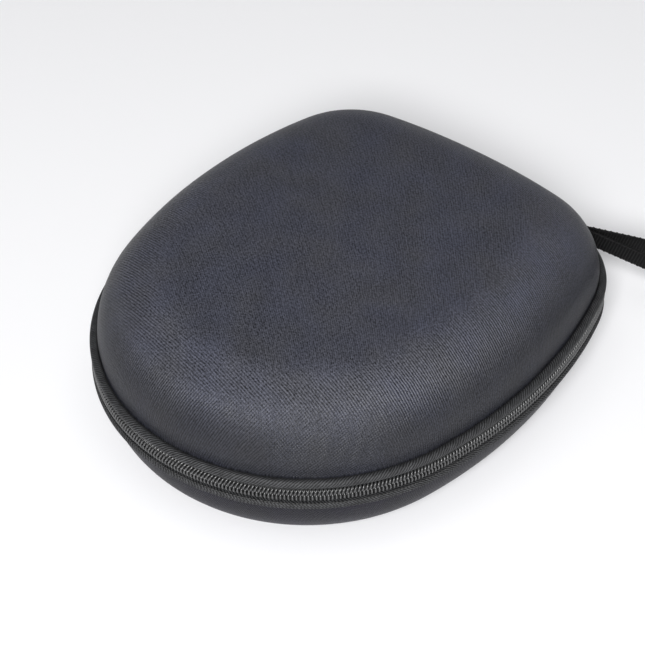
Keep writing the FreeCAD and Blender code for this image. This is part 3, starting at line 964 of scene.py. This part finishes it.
def loop_anchor(webbing, thread):
    """The sewn end of the webbing between the welts, with its bar tack and the seam at the loop's root."""
    centre, radius, _, last = RIGHT_CORNER
    run = [(centre, radius, last - ANCHOR_ANGLE, last)]
    low, high = ANCHOR_LOW, ANCHOR_HIGH
    corners = [(ANCHOR_BACK, low), (ANCHOR_FACE, low), (ANCHOR_FACE, high), (ANCHOR_BACK, high)]
    anchor = swept("loop_anchor", run, rounded(corners, 0.5, 3), LID, step=0.3, is_open=True)
    dress(anchor, "base", webbing, "webbing", "strap_anchor")
    ends = []
    for i, angle in enumerate(TACK_ANGLES):
        station = Station(centre, radius, last - angle, 0.0)
        low, high = (-2.4, 2.2) if i % 2 == 0 else (-2.2, 2.0)
        ends.append((station.at(TACK_FACE, low), station.at(TACK_FACE, high)))
    dress(stitches("loop_bar_tack", ends, 0.17), "base", thread, "binding")
    ends = []
    for x in SEAM_PLACES:
        y = -leg_y(x) - STRAP_THICKNESS / 2
        for low in (-2.3, 0.6):
            ends.append((on_strap(x, y, low), on_strap(x + 0.35, y, low + 1.4)))
    dress(stitches("loop_root_stitches", ends, 0.16), "strap_root", thread, "binding")


# ---- pocket in the lid

NET_INSET = 15.3
NET_BOTTOM = 24.0
NET_THICKNESS = 0.6
NET_MOUTH_Y = 13.5
NET_CELL = 2.8
NET_HOLE = 0.46           # of half a cell
NET_YARN = 0.45
NET_SAG = 0.5
NET_SAG_RATES = (0.05, 0.06)
NET_REACH = 110.0
TRIM_INNER = -18.2
TRIM_OUTER = -14.6
TRIM_SINK = 0.3
TRIM_THICKNESS = 1.3
TRIM_STEPS = 60
ELASTIC_WIDTH = 8.0
ELASTIC_HALF_LENGTH = 73.6
ELASTIC_STEP = 0.45
ELASTIC_HALF_THICKNESS = 0.62
ELASTIC_RISE = 0.3
RIPPLE = 0.12
RIPPLE_PITCH = 1.8


def depth_inside(x, y):
    """How far a point is inside the rim."""
    best = math.inf
    for centre, radius, first, last in OUTLINE:
        angle = math.degrees(math.atan2(y - centre[1], x - centre[0]))
        while angle < first:
            angle += 360
        if angle <= last:
            best = min(best, radius - math.hypot(x - centre[0], y - centre[1]))
    return best


def net_cell(x, y, half):
    """The corners of one cell, set corner to corner with the next, and the eight corners of its hole."""
    outer = [(x + half, y), (x, y + half), (x - half, y), (x, y - half)]
    hole = []
    for k in range(8):
        turn = TAU * k / 8
        hole.append((x + NET_HOLE * half * math.cos(turn), y + NET_HOLE * half * math.sin(turn)))
    return outer, hole


def pocket_net(material):
    """Knitted mesh: square cells set corner to corner, each with its hole."""
    half = NET_CELL / 2
    height = MIDDLE_HEIGHT + NET_BOTTOM + NET_THICKNESS / 2
    reach = int(NET_REACH / half)
    points = []
    faces = []
    index = {}

    def vertex(x, y):
        """The index of the point at a place, added the first time that it is asked for."""
        key = (round(x, 3), round(y, 3))
        if key not in index:
            index[key] = len(points)
            wave = math.sin(x * NET_SAG_RATES[0]) * math.cos(y * NET_SAG_RATES[1])
            sag = max(0.0, NET_SAG * wave)
            points.append(Vector((x * MM, y * MM, (height - sag) * MM)))
        return index[key]

    for i in range(-reach, reach):
        for j in range(-reach, reach):
            x, y = i * half, j * half
            if (i + j) % 2 or y > NET_MOUTH_Y or depth_inside(x, y) < NET_INSET + half:
                continue
            outer, hole = net_cell(x, y, half)
            corners = [vertex(*place) for place in outer]
            rim = [vertex(*place) for place in hole]
            for k in range(4):
                m = (k + 1) % 4
                faces.append((corners[k], corners[m], rim[2 * m], rim[2 * k + 1], rim[2 * k]))
    net = new_object("pocket_mesh", points, faces)
    thick = net.modifiers.new("thickness", "SOLIDIFY")
    thick.thickness = NET_YARN * MM
    thick.offset = 0.0
    dress(net, "lid", material, "net", "pocket_net")


def pocket_edge_arcs():
    """The stretch of each rim arc along which the pocket's edge runs."""
    arcs = []
    for centre, radius, first, last in ZIP_ARCS[1:4]:
        inside = []
        for i in range(TRIM_STEPS + 1):
            angle = first + (last - first) * i / TRIM_STEPS
            if polar(centre, radius - NET_INSET, angle)[1] < NET_MOUTH_Y + 0.5:
                inside.append(angle)
        if inside:
            arcs.append((centre, radius, inside[0], inside[-1]))
    return arcs


def pocket_border(trim):
    """The tape round the pocket's edge, with its stitches."""
    arcs = pocket_edge_arcs()
    low = NET_BOTTOM - TRIM_SINK
    high = low + TRIM_THICKNESS
    corners = [(TRIM_OUTER, low), (TRIM_INNER, low), (TRIM_INNER, high), (TRIM_OUTER, high)]
    border = swept("pocket_border", arcs, rounded(corners, 0.3, 2), LID, is_open=True)
    dress(border, "lid", trim, "binding")
    middle = (TRIM_OUTER + TRIM_INNER) / 2
    row = stitch_row("pocket_border_stitches", arcs, LID, u=middle, h=low - 0.05, pitch=3.0, length=2.0)
    dress(row, "lid", trim, "binding")


def pocket_elastic(elastic):
    """The ribbed elastic along the pocket's mouth."""
    steps = int(2 * ELASTIC_HALF_LENGTH / ELASTIC_STEP)
    middle = MIDDLE_HEIGHT + NET_BOTTOM + ELASTIC_RISE
    rows = []
    cloth = []
    for i in range(steps + 1):
        x = ELASTIC_HALF_LENGTH * (2 * i / steps - 1)
        half_thickness = ELASTIC_HALF_THICKNESS + RIPPLE * math.cos(TAU * x / RIPPLE_PITCH)
        row = []
        places = []
        for across, depth in WEBBING_SECTION:
            y = NET_MOUTH_Y + ELASTIC_WIDTH / 2 * (1 + across)
            row.append(Vector((x * MM, y * MM, (middle + depth * half_thickness) * MM)))
            places.append((x * MM, (y + 0.1 * depth) * MM))
        rows.append(row)
        cloth.append(places)
    band = strip_object("pocket_elastic_band", rows, cloth)
    dress(band, "lid", elastic, "elastic", "pocket_elastic")


# ---- carried-over nodes

def finish_node(name, material, bevel=0.0):
    """A CAD node that stays as it is: its material, and small bevels on its moulded edges."""
    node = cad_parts[name]
    node.data.materials.clear()
    node.data.materials.append(material)
    if bevel:
        soft = node.modifiers.new("edge", "BEVEL")
        soft.width = bevel * MM
        soft.segments = 2
        soft.limit_method = "ANGLE"
        soft.angle_limit = math.radians(40)
        soft.harden_normals = True


# ---- studio

CAMERA_AZIMUTH = 39.65
CAMERA_ELEVATION = 42.4
CAMERA_DISTANCE = 760.0
CAMERA_LENS = 103.5
CAMERA_RIGHT = -5.92
CAMERA_UP = -3.96
FLOOR_HALF = 4.0
LIGHT_AIM = (0.0, 0.0, 0.03)
# Each soft box: its azimuth from the camera and elevation, its distance and width in metres, its watts.
SOFT_BOXES = {
    "front_box": (-6, 40, 2.6, 0.9, 87),
    "left_box": (-60, 62, 2.6, 1.0, 2),
    "overhead_box": (6, 78, 2.8, 2.2, 16),
}


def camera():
    """Looks down at the case's front right, a little right of and below its middle."""
    turn = math.radians(CAMERA_AZIMUTH)
    back = Vector(around(CAMERA_AZIMUTH, CAMERA_ELEVATION, 1.0))
    right = Vector((math.cos(turn), math.sin(turn), 0.0))
    up = back.cross(right)
    target = Vector((0, 0, MIDDLE_HEIGHT)) + right * CAMERA_RIGHT + up * CAMERA_UP
    data = bpy.data.cameras.new("camera")
    data.lens = CAMERA_LENS
    data.sensor_width = 36.0
    eye = linked("camera", data)
    eye.location = (target + back * CAMERA_DISTANCE) * MM
    eye.rotation_mode = "QUATERNION"
    eye.rotation_quaternion = back.to_track_quat("Z", "Y")
    bpy.context.scene.camera = eye


def soft_light(name, place, size, power):
    """A square soft box at a place, turned towards the case, in metres and watts."""
    data = bpy.data.lights.new(name, "AREA")
    data.shape = "SQUARE"
    data.size = size
    data.energy = power
    lamp = linked(name, data)
    lamp.location = place
    lamp.rotation_mode = "QUATERNION"
    lamp.rotation_quaternion = (Vector(place) - Vector(LIGHT_AIM)).to_track_quat("Z", "Y")


def around(azimuth, elevation, distance):
    """A place seen from the case at an azimuth and elevation, counted as for the camera, in metres."""
    turn, tilt = math.radians(azimuth), math.radians(elevation)
    flat = distance * math.cos(tilt)
    return flat * math.sin(turn), -flat * math.cos(turn), distance * math.sin(tilt)


def studio():
    """A pale floor under broad, soft light."""
    half = FLOOR_HALF
    corners = [(-half, -half, 0), (half, -half, 0), (half, half, 0), (-half, half, 0)]
    floor = new_object("studio_floor", corners, [(0, 1, 2, 3)], smooth=False)
    floor.data.materials.append(floor_material())
    world = bpy.data.worlds.new("studio")
    world.use_nodes = True
    backdrop = world.node_tree.nodes["Background"]
    backdrop.inputs["Color"].default_value = (0.96, 0.97, 1.0, 1.0)
    backdrop.inputs["Strength"].default_value = 0.08
    bpy.context.scene.world = world
    for name, (azimuth, elevation, distance, size, power) in SOFT_BOXES.items():
        soft_light(name, around(CAMERA_AZIMUTH + azimuth, elevation, distance), size, power)
    bpy.context.scene.view_settings.view_transform = "Standard"


# ---- assembly

def twills():
    """The lid's twill, and the base's, which is more purple and has painted shade making it darker."""
    upper = twill_material(
        "shell_twill", 1.05, grey(0.105, 0.95, 1.0, 1.34), grey(0.003, 0.93, 1.0, 1.3), shine=0.3
    )
    # Painted shade: the base's colours are darker than the lid's; the purple tint is the cloth's own.
    lower = twill_material(
        "base_twill_painted_shade", 1.0, grey(0.06, 1.0, 0.96, 1.45), grey(0.004, 1.0, 0.95, 1.5), shine=0.15
    )
    return upper, lower


def covers():
    """Both halves' padded covers."""
    upper, lower = twills()
    lid = shell_cover("lid_cover", LID, LID_INSET, LID_RISE, LID_POWER, LID_CROWN)
    dress(lid, "lid", upper, "shell_twill", "lid_shell")
    base = shell_cover("base_cover", BASE, BASE_INSET, BASE_RISE, BASE_POWER, 0.0)
    dress(base, "base", lower, "shell_twill", "base_shell")


def rims(bias, trim):
    """The welts and tapes of both halves."""
    tape = tape_material("zip_tape", grey(0.04), grey(0.01), 0.9, 0.6)
    thread = thread_material("black_thread", grey(0.05), grey(0.012), 0.5)
    for name, side in (("lid", LID), ("base", BASE)):
        half_rim(name, side, bias, tape, trim, thread)


def zip_rows():
    """Both rows of the coil, half a turn apart so that their heads lock."""
    nylon = nylon_material()
    for name, side, offset in (("lid", LID, 0.25), ("base", BASE, 0.75)):
        turns = coil_row(name + "_coil_turns", side, offset)
        dress(turns, name, nylon, "zip_coil", name + "_zip_coil")


def wrist_strap():
    """The loop and its sewn end."""
    webbing = webbing_material()
    webbing_loop(webbing)
    loop_anchor(webbing, thread_material("shiny_thread", grey(0.3, 0.95, 1.0, 1.0), grey(0.05), 0.3))


def finish_hard_nodes():
    """The linings and the zip's moulded and cast parts, which stay as they are in the frame."""
    lining = lining_material()
    stop_metal = metal_material("zip_stop", 0.05, 0.4)
    for half in ("lid", "base"):
        finish_node(half + "_lining", lining)
        for end in ("left", "right"):
            finish_node(f"{half}_zip_stop_{end}", stop_metal, 0.25)
    paint = metal_material("slider_metal", 0.03, 0.38)
    rubber = rubber_material()
    for name in ("rear", "front"):
        finish_node("zip_slider_" + name, paint, 0.3)
        finish_node("puller_tab_" + name, paint, 0.2)
        finish_node("puller_grip_" + name, rubber)


def pocket(trim):
    """The lid's net pocket with its border and elastic."""
    pocket_net(tape_material("net", grey(0.03), grey(0.01), 0.7, 0.4))
    pocket_border(trim)
    pocket_elastic(tape_material("elastic", grey(0.05), grey(0.012), 0.9, 0.0))


def case():
    """Every piece of the case."""
    bias = welt_material()
    trim = tape_material("binding", grey(0.035), grey(0.012), 1.1, 0.0)
    covers()
    rims(bias, trim)
    zip_rows()
    hinge_panel(bias)
    wrist_strap()
    finish_hard_nodes()
    pocket(trim)


camera()
studio()
case()
